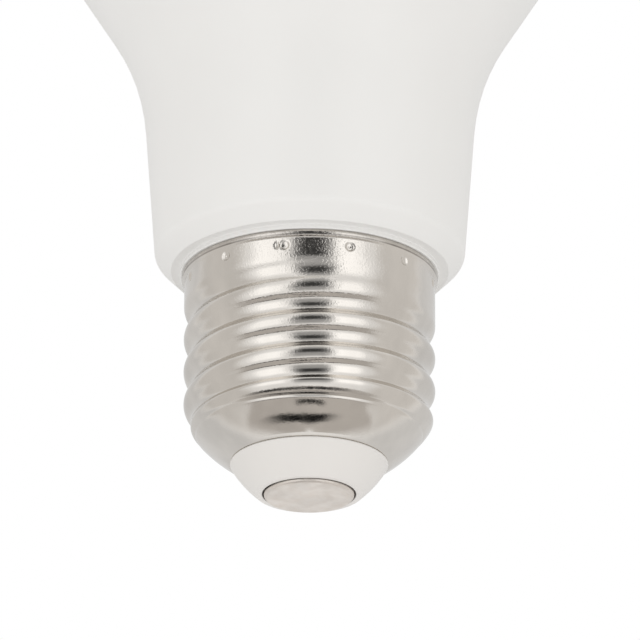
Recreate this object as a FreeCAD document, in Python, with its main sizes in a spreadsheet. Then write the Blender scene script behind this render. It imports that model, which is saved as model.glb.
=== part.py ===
"""LED bulb with a screw cap: housing, diffuser, rolled screw shell, insulator and centre contact.

Millimetres. +Z runs up the bulb's axis and z = 0 is the face of the centre contact.
"""
import FreeCAD, Part
import math
import os

import Sketcher

# Driving dimensions: radii are from the axis and heights are above the centre contact's face.
SIZES = {
    # screw shell
    "crest_radius": 13.1,
    "thread_pitch": 3.629,
    "thread_depth": 0.84,
    "shell_wall": 0.35,
    "mouth_radius": 8.3,
    "mouth_height": 3.8,
    "cup_height": 4.7,
    "cup_arc": 16.0,
    "knuckle_blend": 0.4,
    "collar_height": 2.2,
    "lip_height": 0.9,
    "lip_step_height": 0.35,
    "lip_step": 0.25,
    # thread groove
    "groove_start_height": 6.4,
    "groove_turns": 3.58,
    "runout_turns": 0.34,
    # insulator and centre contact
    "insulator_clear": 0.05,
    "insulator_base_radius": 5.45,
    "insulator_base_height": 0.4,
    "insulator_base_round": 0.4,
    "insulator_arc": 12.5,
    "insulator_height": 6.6,
    "contact_radius": 4.68,
    "contact_gap": 0.12,
    "contact_thickness": 1.1,
    "contact_round": 0.4,
    "pin_radius": 1.5,
    "pin_clear": 0.05,
    "pin_height": 7.0,
    # neck of the housing, inside the shell
    "neck_clear": 0.1,
    "neck_end_height": 9.2,
    "neck_end_chamfer": 0.8,
    "neck_band": 2.6,
    # skirt and flared wall of the housing
    "shoulder_radius": 13.5,
    "shoulder_depth": 0.5,
    "skirt_seat_radius": 14.5,
    "skirt_width": 1.7,
    "skirt_lean": 45.0,
    "skirt_round": 1.2,
    "taper_lean": 4.3,
    "wall_height": 20.45,
    "flare_lean": 32.0,
    "flare_arc": 26.5,
    "bowl_step": 1.3,
    "bowl_height": 4.3,
    "bowl_arc": 14.0,
    "seam_radius": 29.6,
    "seam_chamfer": 0.25,
    # diffuser
    "socket_wall": 2.0,
    "socket_depth": 2.5,
    "spigot_clear": 0.1,
    "dome_swell": 0.4,
    "dome_rise": 9.5,
}

SHEET = "Sizes"


def size(alias):
    """Text that an expression reads as one of the driving dimensions."""
    return SHEET + "." + alias


def fill_sheet(doc):
    """The spreadsheet of driving dimensions, one row each."""
    sheet = doc.addObject("Spreadsheet::Sheet", SHEET)
    for row, (alias, value) in enumerate(SIZES.items(), start=1):
        sheet.set("A%d" % row, alias)
        sheet.set("B%d" % row, "%s" % value)
        sheet.setAlias("B%d" % row, alias)
    doc.recompute()
    return sheet


def value(sheet, text):
    """The number that an expression gives now."""
    result = sheet.evalExpression(text)
    return float(getattr(result, "Value", result))


def origin_feature(body, role):
    """A body's own origin plane or axis, by its role."""
    for feature in body.Origin.OriginFeatures:
        if feature.Role == role:
            return feature
    raise ValueError("no origin feature with the role " + role)


def new_sketch(body, name):
    """A sketch on the body's XZ plane: its x is the radius and its y is the height."""
    sketch = body.newObject("Sketcher::SketchObject", name)
    sketch.AttachmentSupport = [(origin_feature(body, "XZ_Plane"), "")]
    sketch.MapMode = "FlatFace"
    return sketch


def arc_between(start, end, radius, turns_left):
    """The short arc from start to end, whose centre lies left or right of the way from one to the other."""
    across = end - start
    half = across.Length / 2
    left = FreeCAD.Vector(-across.y, across.x, 0).normalize()
    reach = math.sqrt(radius * radius - half * half)
    centre = (start + end) / 2 + left * (reach if turns_left else -reach)
    first, last = (start, end) if turns_left else (end, start)
    first_angle = math.atan2(first.y - centre.y, first.x - centre.x)
    last_angle = math.atan2(last.y - centre.y, last.x - centre.x)
    if last_angle < first_angle:
        last_angle += 2 * math.pi
    circle = Part.Circle(centre, FreeCAD.Vector(0, 0, 1), radius)
    return Part.ArcOfCircle(circle, first_angle, last_angle)


def draw_outline(sheet, sketch, corners):
    """A closed outline of corners, each (radius, height) or (radius, height, arc radius, side).

    The longer form has an arc to the next corner. All are expressions. A None lies on the sketch's own axis.
    """
    points = []
    for corner in corners:
        across = value(sheet, corner[0]) if corner[0] else 0.0
        up = value(sheet, corner[1]) if corner[1] else 0.0
        points.append(FreeCAD.Vector(across, up, 0))
    ends = []
    for index, corner in enumerate(corners):
        start = points[index]
        end = points[(index + 1) % len(corners)]
        if len(corner) == 2:
            edge = sketch.addGeometry(Part.LineSegment(start, end), False)
            ends.append((edge, 1, 2))
        else:
            turns_left = corner[3] == "left"
            arc = arc_between(start, end, value(sheet, corner[2]), turns_left)
            edge = sketch.addGeometry(arc, False)
            ends.append((edge, 1, 2) if turns_left else (edge, 2, 1))
    for index, (edge, start, end) in enumerate(ends):
        following = ends[(index + 1) % len(ends)]
        sketch.addConstraint(Sketcher.Constraint("Coincident", edge, end, following[0], following[1]))
    for index, corner in enumerate(corners):
        edge, start, _ = ends[index]
        for text, kind, axis, number in (
            (corner[0], "DistanceX", -2, points[index].x),
            (corner[1], "DistanceY", -1, points[index].y),
        ):
            if text:
                row = sketch.addConstraint(Sketcher.Constraint(kind, -1, 1, edge, start, number))
                sketch.setExpression("Constraints[%d]" % row, text)
            else:
                sketch.addConstraint(Sketcher.Constraint("PointOnObject", edge, start, axis))
        if len(corner) == 4:
            row = sketch.addConstraint(Sketcher.Constraint("Radius", edge, value(sheet, corner[2])))
            sketch.setExpression("Constraints[%d]" % row, corner[2])


def turned_body(doc, sheet, name, corners):
    """A body turned from an outline about the bulb's axis."""
    body = doc.addObject("PartDesign::Body", name)
    sketch = new_sketch(body, name + "_outline")
    draw_outline(sheet, sketch, corners)
    turn = body.newObject("PartDesign::Revolution", name + "_turned")
    turn.Profile = sketch
    turn.ReferenceAxis = (sketch, ["V_Axis"])
    turn.Angle = 360.0
    doc.recompute()
    return body


def ring_edge(shape, radius, height):
    """The name of the circular edge at a radius and height."""
    for number, edge in enumerate(shape.Edges, start=1):
        if not isinstance(edge.Curve, Part.Circle):
            continue
        near = abs(edge.Curve.Radius - radius) < 1e-4
        if near and abs(edge.Curve.Center.z - height) < 1e-4:
            return "Edge%d" % number
    raise ValueError("no ring of radius %.3f at %.3f" % (radius, height))


def round_ring(doc, sheet, body, name, radius, height, rounding):
    """A fillet on the ring at a radius and height, all three being expressions."""
    before = body.Tip
    edge = ring_edge(before.Shape, value(sheet, radius), value(sheet, height))
    fillet = body.newObject("PartDesign::Fillet", name)
    fillet.Base = (before, [edge])
    fillet.Radius = value(sheet, rounding)
    fillet.setExpression("Radius", rounding)
    doc.recompute()
    return fillet


# The cup under the thread: an arc from the mouth out to the crest radius, and its centre.
KNUCKLE = "(%s + %s)" % (size("mouth_height"), size("cup_height"))
CUP_STEP = "(%s - %s)" % (size("crest_radius"), size("mouth_radius"))
CUP_CHORD = "sqrt(%s^2 + %s^2)" % (CUP_STEP, size("cup_height"))
CUP_REACH = "sqrt(%s^2 - %s^2 / 4)" % (size("cup_arc"), CUP_CHORD)
CUP_CENTRE_RADIUS = "((%s + %s) / 2 - %s * %s / %s)" % (
    size("crest_radius"), size("mouth_radius"), CUP_REACH, size("cup_height"), CUP_CHORD)
CUP_CENTRE_HEIGHT = "((%s + %s) / 2 + %s * %s / %s)" % (
    size("mouth_height"), KNUCKLE, CUP_REACH, CUP_STEP, CUP_CHORD)

# Heights that follow one another up the bulb.
GROOVE_TOP = "(%s + %s * (%s + %s + 0.5))" % (
    size("groove_start_height"), size("thread_pitch"), size("groove_turns"), size("runout_turns"))
RIM = "(%s + %s)" % (GROOVE_TOP, size("collar_height"))
SEAT = "(%s + %s)" % (RIM, size("shoulder_depth"))
CORNER = "(%s + %s / tan(%s))" % (SEAT, size("skirt_width"), size("skirt_lean"))
CORNER_RADIUS = "(%s + %s)" % (size("skirt_seat_radius"), size("skirt_width"))
WAIST = "(%s + %s)" % (CORNER, size("wall_height"))
WAIST_RADIUS = "(%s + %s * tan(%s))" % (CORNER_RADIUS, size("wall_height"), size("taper_lean"))
BOWL_RADIUS = "(%s - %s)" % (size("seam_radius"), size("bowl_step"))
BOWL = "(%s + (%s - %s) / tan(%s))" % (WAIST, BOWL_RADIUS, WAIST_RADIUS, size("flare_lean"))
SEAM = "(%s + %s)" % (BOWL, size("bowl_height"))

# The net of points that carries the rolled skin.
COLUMNS = 24
RINGS_PER_PITCH = 8


def wave_radius(sizes, offset, inset):
    """Radius of the rolled wave at a height from its root: its arcs meet at mid-flank."""
    pitch = sizes["thread_pitch"]
    depth = sizes["thread_depth"]
    crest = sizes["crest_radius"]
    arc = (pitch * pitch / 4 + depth * depth) / (4 * depth)
    gap = abs(offset)
    if gap < pitch / 2 * (arc + inset) / (2 * arc):
        return crest - depth + arc - math.sqrt((arc + inset) ** 2 - gap * gap)
    return crest - arc + math.sqrt((arc - inset) ** 2 - (pitch / 2 - gap) ** 2)


def skin_radius(sizes, height, angle, inset):
    """Radius of the screw shell's skin, set in from its outside by inset."""
    pitch = sizes["thread_pitch"]
    start = sizes["groove_start_height"]
    crest = sizes["crest_radius"] - inset
    turn = angle / (2 * math.pi)
    nearest = turn + round((height - start) / pitch - turn)
    offset = height - start - pitch * nearest
    faded = min(1.0, max(0.0, (nearest - sizes["groove_turns"]) / sizes["runout_turns"]))
    depth_share = 1 - faded * faded * (3 - 2 * faded)
    threaded = crest - depth_share * (crest - wave_radius(sizes, offset, inset))
    below = max(0.0, sizes["cup_centre_height"] - height)
    cup = sizes["cup_centre_radius"] + math.sqrt((sizes["cup_arc"] - inset) ** 2 - below ** 2)
    wall = (threaded + cup - math.hypot(threaded - cup, sizes["knuckle_blend"])) / 2
    risen = (height - sizes["rim"] + sizes["lip_height"]) / sizes["lip_step_height"]
    stepped = min(1.0, max(0.0, risen))
    return wall + sizes["lip_step"] * stepped * stepped * (3 - 2 * stepped)


def ring_heights(sizes):
    """Heights of the rings that the skin passes through, from the mouth to the rim."""
    mouth = sizes["mouth_height"]
    groove_top = sizes["groove_top"]
    steps = math.ceil((groove_top - mouth) / (sizes["thread_pitch"] / RINGS_PER_PITCH))
    heights = [mouth + (groove_top - mouth) * step / steps for step in range(steps + 1)]
    lip = sizes["rim"] - sizes["lip_height"]
    heights.append((groove_top + lip) / 2)
    heights += [lip + sizes["lip_step_height"] * step / 4 for step in range(5)]
    heights.append(sizes["rim"])
    return heights


def skin_face(sizes, inset):
    """The skin as one smooth face, closed round the axis, through points on a net of rings and columns."""
    heights = ring_heights(sizes)
    columns = []
    for column in range(COLUMNS):
        angle = 2 * math.pi * column / COLUMNS
        points = []
        for height in heights:
            radius = skin_radius(sizes, height, angle, inset)
            points.append(FreeCAD.Vector(radius * math.cos(angle), radius * math.sin(angle), height))
        curve = Part.BSplineCurve()
        curve.interpolate(Points=points, Parameters=heights)
        columns.append(curve)
    spacing = [float(column) for column in range(COLUMNS + 1)]
    rings = []
    for level in zip(*[curve.getPoles() for curve in columns]):
        ring = Part.BSplineCurve()
        ring.interpolate(Points=list(level), PeriodicFlag=True, Parameters=spacing)
        rings.append(ring)
    poles = [list(column) for column in zip(*[ring.getPoles() for ring in rings])]
    around = rings[0]
    along = columns[0]
    surface = Part.BSplineSurface()
    surface.buildFromPolesMultsKnots(
        poles, around.getMultiplicities(), along.getMultiplicities(), around.getKnots(), along.getKnots(),
        True, False, around.Degree, along.Degree)
    return surface.toShape()


def ring_at(face, height):
    """The closed edge of a skin at a height."""
    for edge in face.Edges:
        box = edge.BoundBox
        if edge.isClosed() and abs(box.ZMin - height) < 1e-3 and abs(box.ZMax - height) < 1e-3:
            return Part.Wire([edge])
    raise ValueError("the skin has no ring at %.3f" % height)


def screw_shell(doc, sizes):
    """The cap's thin pressed shell: both skins with their thread, a flared rim and the mouth of the cone."""
    outside = skin_face(sizes, 0.0)
    inside = skin_face(sizes, sizes["shell_wall"])
    faces = [outside, inside]
    for height in (sizes["mouth_height"], sizes["rim"]):
        faces.append(Part.Face([ring_at(outside, height), ring_at(inside, height)]))
    solid = Part.Solid(Part.Shell(faces))
    solid.fix(1e-7, 1e-7, 1e-6)
    shell = doc.addObject("Part::Feature", "screw_shell")
    shell.Shape = solid
    return shell


def insulator(doc, sheet):
    """The moulded cone that closes the shell's mouth, with a seat for the contact and a bore for its pin."""
    mouth = size("mouth_height")
    hole = "%s + sqrt((%s - %s)^2 - (%s - %s)^2) - %s" % (
        CUP_CENTRE_RADIUS, size("cup_arc"), size("shell_wall"),
        CUP_CENTRE_HEIGHT, mouth, size("insulator_clear"))
    seat = "%s + %s" % (size("contact_radius"), size("contact_gap"))
    bore = "%s + %s" % (size("pin_radius"), size("pin_clear"))
    base = size("insulator_base_height")
    floor = size("contact_thickness")
    body = turned_body(doc, sheet, "insulator", [
        (seat, base),
        (size("insulator_base_radius"), base, size("insulator_arc"), "left"),
        (size("mouth_radius"), mouth),
        (hole, mouth),
        (hole, size("insulator_height")),
        (bore, size("insulator_height")),
        (bore, floor),
        (seat, floor),
    ])
    round_ring(
        doc, sheet, body, "insulator_base", size("insulator_base_radius"), base, size("insulator_base_round"))
    return body


def centre_contact(doc, sheet):
    """The contact disc, rounded at its edge, with the pin that holds it in the insulator."""
    body = turned_body(doc, sheet, "centre_contact", [
        (None, None),
        (size("contact_radius"), None),
        (size("contact_radius"), size("contact_thickness")),
        (size("pin_radius"), size("contact_thickness")),
        (size("pin_radius"), size("pin_height")),
        (None, size("pin_height")),
    ])
    round_ring(doc, sheet, body, "contact_edge", size("contact_radius"), "0", size("contact_round"))
    return body


def housing(doc, sheet):
    """The white housing: neck inside the shell, skirt round its rim, taper, flare and the dome's socket."""
    neck = "%s - %s - %s - %s" % (
        size("crest_radius"), size("thread_depth"), size("shell_wall"), size("neck_clear"))
    band = "%s - %s - %s" % (size("crest_radius"), size("shell_wall"), size("neck_clear"))
    socket = "%s - %s" % (size("seam_radius"), size("socket_wall"))
    band_foot = "%s - %s" % (RIM, size("neck_band"))
    chamfer = size("neck_end_chamfer")
    body = turned_body(doc, sheet, "housing", [
        (None, size("neck_end_height")),
        ("%s - %s" % (neck, chamfer), size("neck_end_height")),
        (neck, "%s + %s" % (size("neck_end_height"), chamfer)),
        (neck, band_foot),
        (band, band_foot),
        (band, RIM),
        (size("shoulder_radius"), RIM),
        (size("shoulder_radius"), SEAT),
        (size("skirt_seat_radius"), SEAT),
        (CORNER_RADIUS, CORNER),
        (WAIST_RADIUS, WAIST),
        (BOWL_RADIUS, BOWL),
        (size("seam_radius"), "%s - %s" % (SEAM, size("seam_chamfer"))),
        ("%s - %s" % (size("seam_radius"), size("seam_chamfer")), SEAM),
        (socket, SEAM),
        (socket, "%s - %s" % (SEAM, size("socket_depth"))),
        (None, "%s - %s" % (SEAM, size("socket_depth"))),
    ])
    round_ring(doc, sheet, body, "skirt_corner", CORNER_RADIUS, CORNER, size("skirt_round"))
    round_ring(doc, sheet, body, "flare", WAIST_RADIUS, WAIST, size("flare_arc"))
    round_ring(doc, sheet, body, "bowl", BOWL_RADIUS, BOWL, size("bowl_arc"))
    return body


def diffuser(doc, sheet):
    """The frosted dome: a spigot in the socket, a slow swell up to its widest ring, then a half ball."""
    spigot = "%s - %s - %s" % (size("seam_radius"), size("socket_wall"), size("spigot_clear"))
    foot = "%s - %s + %s" % (SEAM, size("socket_depth"), size("spigot_clear"))
    swell = "%s + %s" % (SEAM, size("seam_chamfer"))
    climb = "(%s - %s)" % (size("dome_rise"), size("seam_chamfer"))
    swell_arc = "(%s^2 + %s^2) / (2 * %s)" % (climb, size("dome_swell"), size("dome_swell"))
    dome_radius = "(%s + %s)" % (size("seam_radius"), size("dome_swell"))
    dome_centre = "%s + %s" % (SEAM, size("dome_rise"))
    return turned_body(doc, sheet, "diffuser", [
        (None, foot),
        (spigot, foot),
        (spigot, SEAM),
        ("%s - %s" % (size("seam_radius"), size("seam_chamfer")), SEAM),
        (size("seam_radius"), swell, swell_arc, "left"),
        (dome_radius, dome_centre, dome_radius, "left"),
        (None, "%s + %s" % (dome_centre, dome_radius)),
    ])


def write_parts(doc, pieces):
    """Checks every object of the document, then writes each piece to a STEP file named by its label."""
    for thing in doc.Objects:
        if "Invalid" in thing.State or "Error" in thing.State:
            raise RuntimeError("%s failed: %s" % (thing.Name, thing.State))
    for piece in pieces:
        if piece.Shape.isNull() or not piece.Shape.isValid():
            raise RuntimeError("%s has no valid shape" % piece.Label)
    os.makedirs("parts", exist_ok=True)
    for piece in pieces:
        piece.Shape.exportStep("parts/%s.step" % piece.Label)


def main():
    doc = FreeCAD.newDocument("led_bulb")
    sheet = fill_sheet(doc)
    sizes = {alias: value(sheet, size(alias)) for alias in SIZES}
    sizes["cup_centre_radius"] = value(sheet, CUP_CENTRE_RADIUS)
    sizes["cup_centre_height"] = value(sheet, CUP_CENTRE_HEIGHT)
    sizes["groove_top"] = value(sheet, GROOVE_TOP)
    sizes["rim"] = value(sheet, RIM)
    pieces = [
        housing(doc, sheet),
        diffuser(doc, sheet),
        screw_shell(doc, sizes),
        insulator(doc, sheet),
        centre_contact(doc, sheet),
    ]
    doc.recompute()
    write_parts(doc, pieces)
    return pieces


main()
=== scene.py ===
"""The LED bulb's looks: white plastics and a rolled, nickel-plated screw shell, seen from below its cap.

Lengths in this script are millimetres and become metres where a mesh is made. +Z runs up the bulb's axis.
"""

import math

import bmesh
import bpy
import numpy as np
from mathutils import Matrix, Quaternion, Vector


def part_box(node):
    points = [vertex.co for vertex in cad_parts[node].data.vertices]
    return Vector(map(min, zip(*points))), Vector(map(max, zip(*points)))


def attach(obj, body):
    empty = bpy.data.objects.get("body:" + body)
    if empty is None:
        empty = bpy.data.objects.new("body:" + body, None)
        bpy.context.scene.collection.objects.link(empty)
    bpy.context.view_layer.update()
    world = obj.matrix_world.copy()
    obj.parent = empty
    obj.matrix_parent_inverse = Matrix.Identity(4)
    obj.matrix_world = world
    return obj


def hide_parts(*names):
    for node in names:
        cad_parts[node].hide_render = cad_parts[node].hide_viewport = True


MM = 0.001

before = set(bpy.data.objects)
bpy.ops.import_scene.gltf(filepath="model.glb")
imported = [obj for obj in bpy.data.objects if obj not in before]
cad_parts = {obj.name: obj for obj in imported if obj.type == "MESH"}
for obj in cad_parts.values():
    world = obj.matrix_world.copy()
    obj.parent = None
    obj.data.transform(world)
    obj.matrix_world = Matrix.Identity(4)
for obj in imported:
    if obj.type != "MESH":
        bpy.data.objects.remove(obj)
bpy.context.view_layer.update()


def box_mm(node):
    """The lowest and highest corner of a CAD node, in millimetres."""
    low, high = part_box(node)
    return low / MM, high / MM


# What the CAD parts give.
SHELL_LOW, SHELL_HIGH = box_mm("screw_shell")
CONTACT_HIGH = box_mm("centre_contact")[1]
INSULATOR_LOW, INSULATOR_HIGH = box_mm("insulator")
DOME_LOW, DOME_HIGH = box_mm("diffuser")
MOUTH = SHELL_LOW.z
RIM = SHELL_HIGH.z
CONTACT_RADIUS = CONTACT_HIGH.x
MOUTH_RADIUS = INSULATOR_HIGH.x
DOME_RADIUS = DOME_HIGH.x
DOME_TOP = DOME_HIGH.z
DOME_CENTRE = DOME_TOP - DOME_RADIUS

# The screw shell's thread.
CREST = 13.1
PITCH = 3.629
DEPTH = 0.84
WALL = 0.35
KNUCKLE = MOUTH + 4.7
KNUCKLE_BLEND = 0.4
CUP_ARC = 16.0
LIP_HEIGHT = 0.9
LIP_STEP = 0.25
LIP_STEP_HEIGHT = 0.35
GROOVE_START = 6.4
GROOVE_TURNS = 3.5
RUNOUT_TURNS = 0.5

# The thread runs a little out of square to the cap, highest towards this side.
TILT = 0.36
TILT_TOWARDS = math.radians(246.0)

WAVE_ARC = (PITCH * PITCH / 4 + DEPTH * DEPTH) / (4 * DEPTH)
CUP_CHORD = math.hypot(CREST - MOUTH_RADIUS, KNUCKLE - MOUTH)
CUP_REACH = math.sqrt(CUP_ARC ** 2 - CUP_CHORD ** 2 / 4)
CUP_CENTRE_RADIUS = (CREST + MOUTH_RADIUS) / 2 - CUP_REACH * (KNUCKLE - MOUTH) / CUP_CHORD
CUP_CENTRE = (KNUCKLE + MOUTH) / 2 + CUP_REACH * (CREST - MOUTH_RADIUS) / CUP_CHORD

# A fine ring rolled into the cup. Its reach is how far it fades to either side.
RING_HEIGHT = 6.95
RING_REACH = 0.15
RING_DEPTH = 0.09

# How the rim's outer edge is rounded.
RIM_ROUNDING = 0.12
RIM_SINK = 0.1

# The insulator's cone, the plug behind it and the hole for the contact's pin.
INSULATOR_BASE = 5.45
INSULATOR_ARC = 12.5
PLUG_RADIUS = 7.75
PIN_HOLE = 1.55

# The contact's plate and pin, and the insulator's seat round the plate.
SEAT_CLEARANCE = 0.12
PLATE_BACK = 1.1
PLATE_ROUNDING = 0.4
PIN_RADIUS = 1.5

# Staking marks round the collar, each a flat-ended punch mark with the punch's point in its middle.
STAKES = 12
STAKE_HEIGHT = 23.0
STAKE_FIRST = math.radians(198.5)
STAKE_RADIUS = 0.59
STAKE_FLOOR = 0.3
STAKE_DEPTH = 0.17
DOT_RADIUS = 0.2
DOT_DEPTH = 0.08

# A stray mark of the punch beside one of them, longer than it is wide.
STRAY_SIDE = math.radians(255.0)
STRAY_HEIGHT = 23.05
STRAY_RADIUS = 0.34
STRAY_DEPTH = 0.2
STRAY_STRETCH = 1.8

# The housing's outline: its neck in the shell, its seat on the rim, and from there up to the seam.
NECK_CLEARANCE = 0.1
NECK_RADIUS = CREST - DEPTH - WALL - NECK_CLEARANCE
NECK_LOW = 9.2
SHOULDER_RADIUS = 13.5
SHOULDER_TOP = RIM + 0.5
SEAT_RADIUS = 14.5
SKIRT_RADIUS = 16.2
SKIRT_CORNER = SHOULDER_TOP + SKIRT_RADIUS - SEAT_RADIUS
FLARE_START = 47.3
WAIST_RADIUS = SKIRT_RADIUS + (FLARE_START - SKIRT_CORNER) * math.tan(math.radians(4.3))
BOWL_RADIUS = 28.3
BOWL_START = FLARE_START + (BOWL_RADIUS - WAIST_RADIUS) / math.tan(math.radians(32.0))
SEAM_RADIUS = 29.6
SEAM_CHAMFER = 0.25

# The dome's spigot and the socket for it in the bowl.
SPIGOT_RADIUS = 27.5
SPIGOT_DEPTH = 2.4
SOCKET_RADIUS = 27.6
SOCKET_DEPTH = 2.5
SEAM = DOME_LOW.z + SPIGOT_DEPTH

# Colours as they are lit by plain white light.
HOUSING_WHITE = (0.83, 0.82, 0.80)
DOME_WHITE = (0.87, 0.865, 0.85)
INSULATOR_WHITE = (0.765, 0.738, 0.706)
SHELL_NICKEL = (0.735, 0.7, 0.655)
CONTACT_NICKEL = (0.82, 0.765, 0.71)
# Dark colour painted as shade in the crease at the shell's lip and along its top edge.
LIP_SHADE = (0.16, 0.14, 0.125, 1.0)
# Dark colour painted as shade round the contact's plate, where the gap beside it lies in shadow.
SEAT_SHADE = (0.06, 0.05, 0.045, 1.0)

# Tints of the photo set's cards.
PLAIN = (1.0, 1.0, 1.0)
WARM = (1.0, 0.975, 0.945)
TABLE = (1.0, 0.95, 0.9)

# The height on the bulb that the cards face.
SET_HEIGHT = 14.0

# The photo's camera, and how far in degrees it looks up and rolls.
CAMERA_PLACE = Vector((0.0, -800.0, -297.54))
CAMERA_RISE = 21.75
CAMERA_ROLL = 0.178

# How finely the pieces are divided.
TURNED_COLUMNS = 384
STAKE_COLUMNS = 24
PLAIN_COLUMNS = 22
INNER_ROWS = 26
SHARP_EDGE = math.radians(38)

# Degrees to a step of a fillet, and the most of a side that it may take.
FILLET_STEP = 4
FILLET_SHARE = 0.98


def fillet(before, corner, after, radius):
    """Points of the arc that rounds a corner of an outline. It leaves a little of both sides straight."""
    into = (Vector(before) - Vector(corner)).normalized()
    out = (Vector(after) - Vector(corner)).normalized()
    half = into.angle(out) / 2
    setback = min(
        radius / math.tan(half),
        FILLET_SHARE * (Vector(before) - Vector(corner)).length,
        FILLET_SHARE * (Vector(after) - Vector(corner)).length)
    radius = setback * math.tan(half)
    centre = Vector(corner) + (into + out).normalized() * (radius / math.sin(half))
    first = Vector(corner) + into * setback - centre
    last = Vector(corner) + out * setback - centre
    sweep = math.pi - 2 * half
    steps = max(3, int(math.degrees(sweep) / FILLET_STEP))
    points = []
    for step in range(steps + 1):
        share = step / steps
        ray = first * math.sin((1 - share) * sweep) + last * math.sin(share * sweep)
        points.append(tuple(centre + ray / math.sin(sweep)))
    return points


def outline(corners):
    """An open outline of (radius, height[, rounding]) corners, with the roundings drawn in."""
    points = [corners[0][:2]]
    for before, corner, after in zip(corners, corners[1:], corners[2:]):
        if len(corner) == 3:
            points += fillet(before[:2], corner[:2], after[:2], corner[2])
        else:
            points.append(corner[:2])
    points.append(corners[-1][:2])
    return points


def arc_points(start, end, radius):
    """Points between two ends of an arc that swells to the right of the way up."""
    a = Vector(start)
    b = Vector(end)
    chord = b - a
    reach = math.sqrt(radius ** 2 - chord.length ** 2 / 4)
    centre = (a + b) / 2 + Vector((-chord.y, chord.x)).normalized() * reach
    rays = (a - centre, b - centre)
    sweep = rays[0].angle(rays[1])
    points = []
    steps = 12
    for step in range(1, steps):
        share = step / steps
        ray = rays[0] * math.sin((1 - share) * sweep) + rays[1] * math.sin(share * sweep)
        points.append(tuple(centre + ray / math.sin(sweep)))
    return points


def add_mesh(name, points, faces, material):
    """A smooth-shaded piece that rides on the bulb's one body and stands for the CAD node of its name."""
    mesh = bpy.data.meshes.new(name)
    mesh.from_pydata([(x * MM, y * MM, z * MM) for x, y, z in points], [], faces)
    work = bmesh.new()
    work.from_mesh(mesh)
    bmesh.ops.recalc_face_normals(work, faces=work.faces)
    work.to_mesh(mesh)
    work.free()
    mesh.shade_smooth()
    mesh.set_sharp_from_angle(angle=SHARP_EDGE)
    mesh.materials.append(material)
    piece = bpy.data.objects.new(name + "_look", mesh)
    bpy.context.scene.collection.objects.link(piece)
    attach(piece, "root")
    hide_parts(name)


def turned(name, profile, material):
    """A piece turned from an outline that starts and ends on the axis or closes on itself."""
    points = []
    rings = []
    for radius, height in profile:
        if radius < 1e-6:
            rings.append([len(points)])
            points.append((0.0, 0.0, height))
            continue
        ring = []
        for column in range(TURNED_COLUMNS):
            angle = 2 * math.pi * column / TURNED_COLUMNS
            ring.append(len(points))
            points.append((radius * math.cos(angle), radius * math.sin(angle), height))
        rings.append(ring)
    faces = []
    pairs = list(zip(rings, rings[1:]))
    if len(rings[0]) > 1:
        pairs.append((rings[-1], rings[0]))
    for low, high in pairs:
        for column in range(TURNED_COLUMNS):
            beside = (column + 1) % TURNED_COLUMNS
            if len(low) == 1:
                faces.append((low[0], high[beside], high[column]))
            elif len(high) == 1:
                faces.append((low[column], low[beside], high[0]))
            else:
                faces.append((low[column], low[beside], high[beside], high[column]))
    add_mesh(name, points, faces, material)


def eased(share):
    """A share held between nothing and one, with a soft start and end."""
    held = min(1.0, max(0.0, share))
    return held * held * (3 - 2 * held)


def wave_radius(offset, inset):
    """Radius of the rolled wave at a height from its root: arcs that meet at mid-flank."""
    gap = abs(offset)
    if gap < PITCH / 2 * (WAVE_ARC + inset) / (2 * WAVE_ARC):
        return CREST - DEPTH + WAVE_ARC - math.sqrt((WAVE_ARC + inset) ** 2 - gap * gap)
    return CREST - WAVE_ARC + math.sqrt((WAVE_ARC - inset) ** 2 - (PITCH / 2 - gap) ** 2)


def shell_radius(height, angle, inset):
    """Radius of the screw shell's skin, set in from its outside by inset."""
    turn = angle / (2 * math.pi)
    risen = height - GROOVE_START - TILT * math.cos(angle - TILT_TOWARDS)
    nearest = turn + round(risen / PITCH - turn)
    offset = risen - PITCH * nearest
    share = 1 - eased((nearest - GROOVE_TURNS) / RUNOUT_TURNS)
    crest = CREST - inset
    threaded = crest - share * (crest - wave_radius(offset, inset))
    below = max(0.0, CUP_CENTRE - height)
    cup = CUP_CENTRE_RADIUS + math.sqrt((CUP_ARC - inset) ** 2 - below ** 2)
    wall = (threaded + cup - math.hypot(threaded - cup, KNUCKLE_BLEND)) / 2
    wall -= RING_DEPTH * math.exp(-((height - RING_HEIGHT) / RING_REACH) ** 2)
    return wall + LIP_STEP * eased((height - RIM + LIP_HEIGHT) / LIP_STEP_HEIGHT)


def stake_sink(height, angle):
    """How deep the punch marks lie here."""
    nearest = round((angle - STAKE_FIRST) * STAKES / (2 * math.pi))
    across = (angle - STAKE_FIRST - nearest * 2 * math.pi / STAKES) * CREST
    gap = math.hypot(across, height - STAKE_HEIGHT)
    sink = STAKE_DEPTH * eased((STAKE_RADIUS - gap) / (STAKE_RADIUS - STAKE_FLOOR))
    sink += DOT_DEPTH * eased((DOT_RADIUS - gap) / DOT_RADIUS)
    apart = math.hypot((angle - STRAY_SIDE) * CREST, (height - STRAY_HEIGHT) / STRAY_STRETCH)
    return sink + STRAY_DEPTH * eased((STRAY_RADIUS - apart) / STRAY_RADIUS)


def shell_columns():
    """Angles of the shell's columns, close together across each punch mark."""
    step = 2 * math.pi / STAKES
    near = 0.085
    between = step - 2 * near
    angles = []
    for stake in range(STAKES):
        middle = STAKE_FIRST + stake * step
        angles += [middle - near + 2 * near * column / STAKE_COLUMNS for column in range(STAKE_COLUMNS)]
        angles += [middle + near + between * column / PLAIN_COLUMNS for column in range(PLAIN_COLUMNS)]
    return angles


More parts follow.
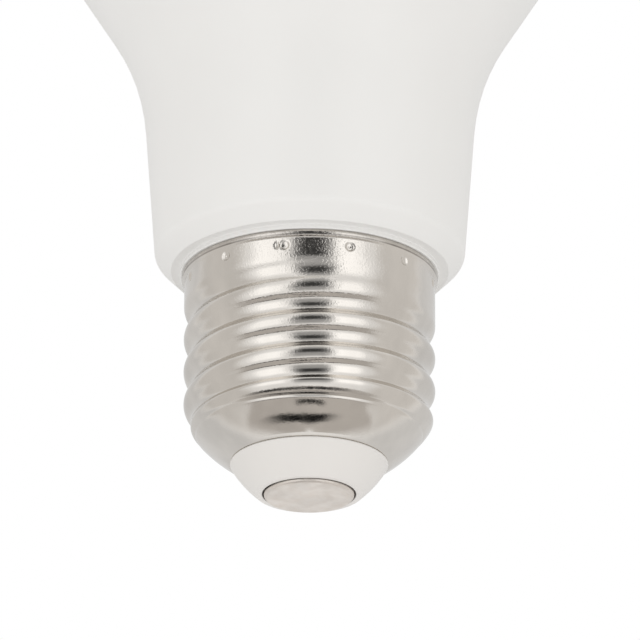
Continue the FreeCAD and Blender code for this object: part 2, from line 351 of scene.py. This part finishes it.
def shell_heights():
    """Heights of the outside's rows, close together at the cup's ring, the punch marks and the rim."""
    lip = RIM - LIP_HEIGHT
    spans = (
        (MOUTH, RING_HEIGHT - 0.65, 12),
        (RING_HEIGHT - 0.59, RING_HEIGHT + 0.65, 22),
        (RING_HEIGHT + 0.77, STAKE_HEIGHT - 0.8, 86),
        (STAKE_HEIGHT - 0.7, lip - 0.02, 20),
        (lip, lip + LIP_STEP_HEIGHT, 6))
    heights = []
    for low, high, rows in spans:
        heights += list(np.linspace(low, high, rows))
    return heights + [RIM - 0.2, RIM - 0.06, RIM]


def screw_shell(material):
    """The pressed shell as one closed skin: up its outside from the mouth, over the rim and down inside."""
    angles = shell_columns()
    outer = shell_heights()
    inner = list(np.linspace(RIM, MOUTH, INNER_ROWS))
    points = []
    for height in outer:
        for angle in angles:
            radius = shell_radius(height, angle, 0.0) - stake_sink(height, angle)
            radius -= RIM_SINK * eased((height - RIM + RIM_ROUNDING) / RIM_ROUNDING)
            points.append((radius * math.cos(angle), radius * math.sin(angle), height))
    for height in inner:
        for angle in angles:
            radius = shell_radius(height, angle, WALL)
            points.append((radius * math.cos(angle), radius * math.sin(angle), height))
    rows = len(outer) + len(inner)
    count = len(angles)
    faces = []
    for row in range(rows):
        above = (row + 1) % rows
        for column in range(count):
            beside = (column + 1) % count
            faces.append((
                row * count + column, row * count + beside, above * count + beside, above * count + column))
    add_mesh("screw_shell", points, faces, material)


def new_material(name):
    """A material with its node tree, its shader and its coordinates."""
    material = bpy.data.materials.new(name)
    material.use_nodes = True
    nodes = material.node_tree.nodes
    coordinates = nodes.new("ShaderNodeTexCoord")
    return material, nodes, material.node_tree.links, nodes["Principled BSDF"], coordinates


def noise_node(nodes, links, coordinates, scale, detail=3.0, stretch=(1.0, 1.0, 1.0)):
    """A noise texture in the object's own coordinates. Scale counts cells per metre."""
    mapping = nodes.new("ShaderNodeMapping")
    mapping.inputs["Scale"].default_value = stretch
    texture = nodes.new("ShaderNodeTexNoise")
    texture.inputs["Scale"].default_value = scale
    texture.inputs["Detail"].default_value = detail
    links.new(coordinates.outputs["Object"], mapping.inputs["Vector"])
    links.new(mapping.outputs["Vector"], texture.inputs["Vector"])
    return texture


def ramp_between(nodes, links, factor, low, high):
    """Two colours, or two greys, mixed by a texture."""
    ramp = nodes.new("ShaderNodeValToRGB")
    ramp.color_ramp.elements[0].position = 0.35
    ramp.color_ramp.elements[1].position = 0.65
    ramp.color_ramp.elements[0].color = (*low, 1.0)
    ramp.color_ramp.elements[1].color = (*high, 1.0)
    links.new(factor, ramp.inputs["Fac"])
    return ramp.outputs["Color"]


def add_bump(nodes, links, shader, height, strength, distance):
    """A bump of a real height, in metres."""
    bump = nodes.new("ShaderNodeBump")
    bump.inputs["Strength"].default_value = strength
    bump.inputs["Distance"].default_value = distance
    links.new(height, bump.inputs["Height"])
    links.new(bump.outputs["Normal"], shader.inputs["Normal"])


def plastic(name, colour, roughness, grain):
    """Smooth moulded plastic with a faint cloud in its white and a fine grain."""
    material, nodes, links, shader, coordinates = new_material(name)
    cloud = noise_node(nodes, links, coordinates, 90.0)
    low = tuple(c * 0.985 for c in colour)
    links.new(ramp_between(nodes, links, cloud.outputs["Fac"], low, colour), shader.inputs["Base Color"])
    wear = noise_node(nodes, links, coordinates, 400.0)
    smooth = (roughness - 0.04,) * 3
    rough = (roughness + 0.04,) * 3
    gloss = ramp_between(nodes, links, wear.outputs["Fac"], smooth, rough)
    links.new(gloss, shader.inputs["Roughness"])
    fine = noise_node(nodes, links, coordinates, 3500.0, 2.0)
    add_bump(nodes, links, shader, fine.outputs["Fac"], 0.15, grain)
    shader.inputs["Specular IOR Level"].default_value = 0.4
    return material


def darken_the_seat(material, radius):
    """A fine line of painted shade on the insulator, round the contact's edge, standing in for the shadow
    in the gap there.
    """
    nodes = material.node_tree.nodes
    links = material.node_tree.links
    shader = nodes["Principled BSDF"]
    clean = shader.inputs["Base Color"].links[0].from_socket
    coordinates = nodes.new("ShaderNodeTexCoord")
    level = nodes.new("ShaderNodeVectorMath")
    level.operation = "MULTIPLY"
    level.inputs[1].default_value = (1.0, 1.0, 0.0)
    links.new(coordinates.outputs["Object"], level.inputs[0])
    reach = nodes.new("ShaderNodeVectorMath")
    reach.operation = "LENGTH"
    links.new(level.outputs["Vector"], reach.inputs[0])
    fade = nodes.new("ShaderNodeMapRange")
    fade.inputs["From Min"].default_value = (radius + 0.03) * MM
    fade.inputs["From Max"].default_value = (radius + 0.13) * MM
    fade.inputs["To Min"].default_value = 0.9
    fade.inputs["To Max"].default_value = 0.0
    links.new(reach.outputs["Value"], fade.inputs["Value"])
    # The painted shade's dark colour, mixed over the clean white.
    mix = nodes.new("ShaderNodeMix")
    mix.data_type = "RGBA"
    mix.inputs["B"].default_value = SEAT_SHADE
    links.new(fade.outputs["Result"], mix.inputs["Factor"])
    links.new(clean, mix.inputs["A"])
    links.new(mix.outputs["Result"], shader.inputs["Base Color"])


def nickel(name, colour, roughness, stretch, grain):
    """Bright plated metal with faint stains, uneven polish and fine marks."""
    material, nodes, links, shader, coordinates = new_material(name)
    shader.inputs["Metallic"].default_value = 1.0
    stain = noise_node(nodes, links, coordinates, 260.0, 4.0, stretch)
    low = tuple(c * 0.88 for c in colour)
    links.new(ramp_between(nodes, links, stain.outputs["Fac"], low, colour), shader.inputs["Base Color"])
    polish = noise_node(nodes, links, coordinates, 700.0, 5.0, stretch)
    smooth = (roughness * 0.7,) * 3
    rough = (roughness * 1.3,) * 3
    gloss = ramp_between(nodes, links, polish.outputs["Fac"], smooth, rough)
    links.new(gloss, shader.inputs["Roughness"])
    marks = noise_node(nodes, links, coordinates, 1800.0, 4.0, stretch)
    add_bump(nodes, links, shader, marks.outputs["Fac"], 0.35, grain)
    return material


def shell_nickel():
    """The screw shell's nickel, with specks and with painted shade at its lip."""
    material = nickel("shell_nickel", SHELL_NICKEL, 0.085, (1.0, 1.0, 0.35), 0.8e-5)
    add_specks(material, 0.9e-5)
    shade_the_lip(material)
    return material


def add_specks(material, height):
    """Fine specks on the shell's metal, strongest at its rim and faint at its cup. Height is in metres."""
    nodes = material.node_tree.nodes
    links = material.node_tree.links
    shader = nodes["Principled BSDF"]
    broad = shader.inputs["Normal"].links[0].from_socket
    coordinates = nodes.new("ShaderNodeTexCoord")
    fine = noise_node(nodes, links, coordinates, 5000.0, 2.0)
    bump = nodes.new("ShaderNodeBump")
    bump.inputs["Distance"].default_value = height
    split = nodes.new("ShaderNodeSeparateXYZ")
    links.new(coordinates.outputs["Object"], split.inputs["Vector"])
    worn = nodes.new("ShaderNodeMapRange")
    worn.inputs["From Min"].default_value = KNUCKLE * MM
    worn.inputs["From Max"].default_value = RIM * MM
    worn.inputs["To Min"].default_value = 0.1
    worn.inputs["To Max"].default_value = 0.9
    links.new(split.outputs["Z"], worn.inputs["Value"])
    links.new(worn.outputs["Result"], bump.inputs["Strength"])
    specks = nodes.new("ShaderNodeMapRange")
    specks.inputs["From Min"].default_value = 0.5
    specks.inputs["From Max"].default_value = 0.7
    links.new(fine.outputs["Fac"], specks.inputs["Value"])
    links.new(specks.outputs["Result"], bump.inputs["Height"])
    links.new(broad, bump.inputs["Normal"])
    links.new(bump.outputs["Normal"], shader.inputs["Normal"])


def shade_the_lip(material):
    """Painted shade in the crease under the shell's lip, uneven round it, and along the lip's top edge
    where it meets the housing.
    """
    nodes = material.node_tree.nodes
    links = material.node_tree.links
    shader = nodes["Principled BSDF"]
    clean = shader.inputs["Base Color"].links[0].from_socket
    coordinates = nodes.new("ShaderNodeTexCoord")
    split = nodes.new("ShaderNodeSeparateXYZ")
    links.new(coordinates.outputs["Object"], split.inputs["Vector"])
    span = nodes.new("ShaderNodeMapRange")
    span.inputs["From Min"].default_value = (RIM - 1.2) * MM
    span.inputs["From Max"].default_value = RIM * MM
    links.new(split.outputs["Z"], span.inputs["Value"])
    lines = nodes.new("ShaderNodeValToRGB")
    stops = lines.color_ramp.elements
    stops[0].position = 0.46
    stops[0].color = (0.0, 0.0, 0.0, 1.0)
    stops[1].position = 1.0
    stops[1].color = (0.7, 0.7, 0.7, 1.0)
    for position, grey in ((0.52, 0.85), (0.57, 0.85), (0.65, 0.25), (0.92, 0.2), (0.965, 0.6)):
        stop = stops.new(position)
        stop.color = (grey, grey, grey, 1.0)
    links.new(span.outputs["Result"], lines.inputs["Fac"])
    patches = noise_node(nodes, links, coordinates, 330.0, 3.0, (1.0, 1.0, 0.1))
    uneven = nodes.new("ShaderNodeMapRange")
    uneven.inputs["From Min"].default_value = 0.3
    uneven.inputs["From Max"].default_value = 0.65
    uneven.inputs["To Min"].default_value = 0.45
    links.new(patches.outputs["Fac"], uneven.inputs["Value"])
    share = nodes.new("ShaderNodeMath")
    share.operation = "MULTIPLY"
    links.new(lines.outputs["Color"], share.inputs[0])
    links.new(uneven.outputs["Result"], share.inputs[1])
    # The painted shade's dark colour, mixed over the clean nickel.
    mix = nodes.new("ShaderNodeMix")
    mix.data_type = "RGBA"
    mix.inputs["B"].default_value = LIP_SHADE
    links.new(share.outputs["Value"], mix.inputs["Factor"])
    links.new(clean, mix.inputs["A"])
    links.new(mix.outputs["Result"], shader.inputs["Base Color"])


def glow_material(name, radiance, softness, tint):
    """A glow that fades out towards a card's edges. A small softness gives a hard edge."""
    material = bpy.data.materials.new(name)
    material.use_nodes = True
    nodes = material.node_tree.nodes
    links = material.node_tree.links
    nodes.clear()
    coordinates = nodes.new("ShaderNodeTexCoord")
    split = nodes.new("ShaderNodeSeparateXYZ")
    links.new(coordinates.outputs["UV"], split.inputs["Vector"])
    sides = []
    for axis in ("X", "Y"):
        near = nodes.new("ShaderNodeMath")
        near.operation = "PINGPONG"
        near.inputs[1].default_value = 0.5
        links.new(split.outputs[axis], near.inputs[0])
        fade = nodes.new("ShaderNodeMapRange")
        fade.interpolation_type = "SMOOTHSTEP"
        fade.inputs["From Max"].default_value = softness
        links.new(near.outputs["Value"], fade.inputs["Value"])
        sides.append(fade)
    share = nodes.new("ShaderNodeMath")
    share.operation = "MULTIPLY"
    links.new(sides[0].outputs["Result"], share.inputs[0])
    links.new(sides[1].outputs["Result"], share.inputs[1])
    clear = nodes.new("ShaderNodeBsdfTransparent")
    glow = nodes.new("ShaderNodeEmission")
    glow.inputs["Color"].default_value = (*tint, 1.0)
    glow.inputs["Strength"].default_value = radiance
    mix = nodes.new("ShaderNodeMixShader")
    links.new(share.outputs["Value"], mix.inputs[0])
    links.new(clear.outputs["BSDF"], mix.inputs[1])
    links.new(glow.outputs["Emission"], mix.inputs[2])
    output = nodes.new("ShaderNodeOutputMaterial")
    links.new(mix.outputs["Shader"], output.inputs["Surface"])
    return material


def card(name, azimuths, elevations, distance, radiance, softness,
         tint=PLAIN, lights_plastic=False, in_metal=True, bow=0.0):
    """A curved card of the photo set, facing the cap. Degrees, with azimuth from the camera towards +X.

    The camera doesn't see it. The metal shows it, and the plastic is lit by it only where it is a lamp.
    Bow is how far its ends rise at 50 degrees to either side.
    """
    steps = 16
    points = []
    faces = []
    for row in range(steps + 1):
        elevation = math.radians(elevations[0] + (elevations[1] - elevations[0]) * row / steps)
        for column in range(steps + 1):
            azimuth = math.radians(azimuths[0] + (azimuths[1] - azimuths[0]) * column / steps)
            lifted = elevation + math.radians(bow * (math.degrees(azimuth) / 50) ** 2)
            points.append((
                distance * math.sin(azimuth) * math.cos(lifted) * MM,
                -distance * math.cos(azimuth) * math.cos(lifted) * MM,
                (SET_HEIGHT + distance * math.sin(lifted)) * MM))
    for row in range(steps):
        for column in range(steps):
            corner = row * (steps + 1) + column
            faces.append((corner, corner + 1, corner + steps + 2, corner + steps + 1))
    mesh = bpy.data.meshes.new(name)
    mesh.from_pydata(points, [], faces)
    layer = mesh.uv_layers.new(name="card")
    for loop in mesh.loops:
        row, column = divmod(loop.vertex_index, steps + 1)
        layer.data[loop.index].uv = (column / steps, row / steps)
    mesh.materials.append(glow_material(name, radiance, softness, tint))
    piece = bpy.data.objects.new(name, mesh)
    bpy.context.scene.collection.objects.link(piece)
    piece.visible_camera = False
    piece.visible_diffuse = lights_plastic
    piece.visible_glossy = in_metal
    piece.visible_shadow = False


def housing(material):
    """The lower body: neck in the shell, shoulder on its rim, skirt, bowl and the socket for the dome."""
    turned("housing", outline([
        (0.0, NECK_LOW),
        (NECK_RADIUS, NECK_LOW, 0.6),
        (NECK_RADIUS, RIM, 0.05),
        (SHOULDER_RADIUS, RIM, 0.08),
        (SHOULDER_RADIUS, SHOULDER_TOP, 0.1),
        (SEAT_RADIUS, SHOULDER_TOP, 0.15),
        (SKIRT_RADIUS, SKIRT_CORNER, 1.2),
        (WAIST_RADIUS, FLARE_START, 26.5),
        (BOWL_RADIUS, BOWL_START, 14.0),
        (SEAM_RADIUS, SEAM - SEAM_CHAMFER, 0.1),
        (SEAM_RADIUS - SEAM_CHAMFER, SEAM, 0.1),
        (SOCKET_RADIUS, SEAM, 0.1),
        (SOCKET_RADIUS, SEAM - SOCKET_DEPTH),
        (0.0, SEAM - SOCKET_DEPTH)]), material)


def diffuser(material):
    """The dome: its spigot, a swell from the seam to its widest ring, and half a ball on top."""
    swell = SEAM + SEAM_CHAMFER
    climb = DOME_CENTRE - swell
    bulge = DOME_RADIUS - SEAM_RADIUS
    swell_arc = (climb ** 2 + bulge ** 2) / (2 * bulge)
    profile = [
        (0.0, DOME_LOW.z),
        (SPIGOT_RADIUS, DOME_LOW.z),
        (SPIGOT_RADIUS, SEAM),
        (SEAM_RADIUS - SEAM_CHAMFER, SEAM)]
    swell_steps = 8
    for step in range(swell_steps + 1):
        up = swell + climb * step / swell_steps
        down = DOME_CENTRE - up
        profile.append((DOME_RADIUS - swell_arc + math.sqrt(swell_arc ** 2 - down ** 2), up))
    ball_steps = 60
    for step in range(1, ball_steps):
        angle = math.pi / 2 * step / ball_steps
        profile.append((DOME_RADIUS * math.cos(angle), DOME_CENTRE + DOME_RADIUS * math.sin(angle)))
    profile.append((0.0, DOME_TOP))
    turned("diffuser", profile, material)


def insulator(material):
    """The cone in the shell's mouth, with the contact's seat in its end and a plug behind it."""
    seat = CONTACT_RADIUS + SEAT_CLEARANCE
    # Painted shade round the contact's plate.
    darken_the_seat(material, seat)
    base = INSULATOR_LOW.z
    side = arc_points((INSULATOR_BASE, base), (MOUTH_RADIUS, MOUTH), INSULATOR_ARC)
    turned("insulator", outline([
        (seat, PLATE_BACK),
        (seat, base, 0.12),
        (INSULATOR_BASE, base, 0.25),
        *side,
        (MOUTH_RADIUS, MOUTH, 0.15),
        (PLUG_RADIUS, MOUTH),
        (PLUG_RADIUS, INSULATOR_HIGH.z),
        (PIN_HOLE, INSULATOR_HIGH.z),
        (PIN_HOLE, PLATE_BACK)]), material)


def centre_contact(material):
    """The contact's round plate with its pin behind it."""
    turned("centre_contact", outline([
        (0.0, 0.0),
        (CONTACT_RADIUS, 0.0, PLATE_ROUNDING),
        (CONTACT_RADIUS, PLATE_BACK, 0.1),
        (PIN_RADIUS, PLATE_BACK),
        (PIN_RADIUS, CONTACT_HIGH.z),
        (0.0, CONTACT_HIGH.z)]), material)


def build_bulb():
    """All five pieces."""
    housing(plastic("housing_white", HOUSING_WHITE, 0.42, 2e-5))
    diffuser(plastic("dome_frosted", DOME_WHITE, 0.6, 3e-5))
    screw_shell(shell_nickel())
    insulator(plastic("insulator_white", INSULATOR_WHITE, 0.35, 1.5e-5))
    centre_contact(nickel("contact_nickel", CONTACT_NICKEL, 0.45, (1.0, 1.0, 1.0), 2e-5))


def light_the_set():
    """A white surround, soft lamps at both sides and below, and the dark things that the metal shows."""
    world = bpy.data.worlds.new("white_surround")
    bpy.context.scene.world = world
    world.use_nodes = True
    nodes = world.node_tree.nodes
    links = world.node_tree.links
    nodes.clear()
    surround = nodes.new("ShaderNodeBackground")
    surround.inputs["Color"].default_value = (1.0, 0.995, 0.985, 1.0)
    surround.inputs["Strength"].default_value = 0.82
    white = nodes.new("ShaderNodeBackground")
    white.inputs["Color"].default_value = (1.0, 1.0, 1.0, 1.0)
    white.inputs["Strength"].default_value = 1.0
    ray = nodes.new("ShaderNodeLightPath")
    seen = nodes.new("ShaderNodeMath")
    seen.operation = "MAXIMUM"
    mirrored = nodes.new("ShaderNodeMath")
    mirrored.operation = "MAXIMUM"
    mix = nodes.new("ShaderNodeMixShader")
    output = nodes.new("ShaderNodeOutputWorld")
    links.new(ray.outputs["Is Glossy Ray"], mirrored.inputs[0])
    links.new(ray.outputs["Is Transmission Ray"], mirrored.inputs[1])
    links.new(ray.outputs["Is Camera Ray"], seen.inputs[0])
    links.new(mirrored.outputs["Value"], seen.inputs[1])
    links.new(seen.outputs["Value"], mix.inputs[0])
    links.new(surround.outputs["Background"], mix.inputs[1])
    links.new(white.outputs["Background"], mix.inputs[2])
    links.new(mix.outputs["Shader"], output.inputs["Surface"])
    # Each card's azimuths, elevations, distance, radiance and softness, and its tint where it isn't plain.
    card("lamp_left", (-58, -16), (-40, 50), 420, 1.38, 0.3, lights_plastic=True)
    card("lamp_right", (18, 56), (-40, 50), 420, 1.42, 0.3, lights_plastic=True)
    card("lamp_below", (-120, 120), (-90, -35), 430, 1.12, 0.15, lights_plastic=True, in_metal=False)
    card("grey_front", (-20, 25), (-50, 80), 400, 0.41, 0.25)
    card("dark_front", (-20, 24), (-8, 50), 390, 0.05, 0.38)
    card("flag_left", (-125, -55), (-75, 75), 440, 0.73, 0.25, WARM)
    card("flag_right", (55, 125), (-75, 75), 440, 0.75, 0.25, WARM)
    card("back_left", (-184, -112), (-70, 70), 445, 0.74, 0.2)
    card("back_right", (112, 184), (-70, 70), 445, 0.74, 0.2)
    card("table_below", (-120, 120), (-90, -48), 400, 0.56, 0.1, TABLE)
    card("table_edge", (-85, 85), (-64, -47), 402, 0.53, 0.1, TABLE, bow=3.5)
    card("strip_near", (-78, 56), (-54, -48.6), 380, 0.03, 0.22, bow=4.5)
    card("strip_last", (-26, 30), (-65.6, -61.6), 380, 0.01, 0.2)
    card("dark_below", (-100, 74), (-83.5, -72.5), 380, 0.01, 0.25, bow=5.0)


def set_camera():
    """The photo's camera, out in front of the cap and below it, looking up. The shifts frame the photo."""
    camera = bpy.data.cameras.new("camera")
    camera.lens = 464.73
    camera.sensor_width = 36.0
    camera.shift_x = 0.0162
    camera.shift_y = -0.0256
    camera.clip_start = 0.05
    camera.clip_end = 20.0
    holder = bpy.data.objects.new("camera", camera)
    bpy.context.scene.collection.objects.link(holder)
    holder.location = CAMERA_PLACE * MM
    holder.rotation_mode = "QUATERNION"
    raised = Quaternion((1, 0, 0), math.radians(90 + CAMERA_RISE))
    holder.rotation_quaternion = raised @ Quaternion((0, 0, 1), math.radians(CAMERA_ROLL))
    bpy.context.scene.camera = holder


build_bulb()
light_the_set()
set_camera()
bpy.context.scene.view_settings.view_transform = "Standard"
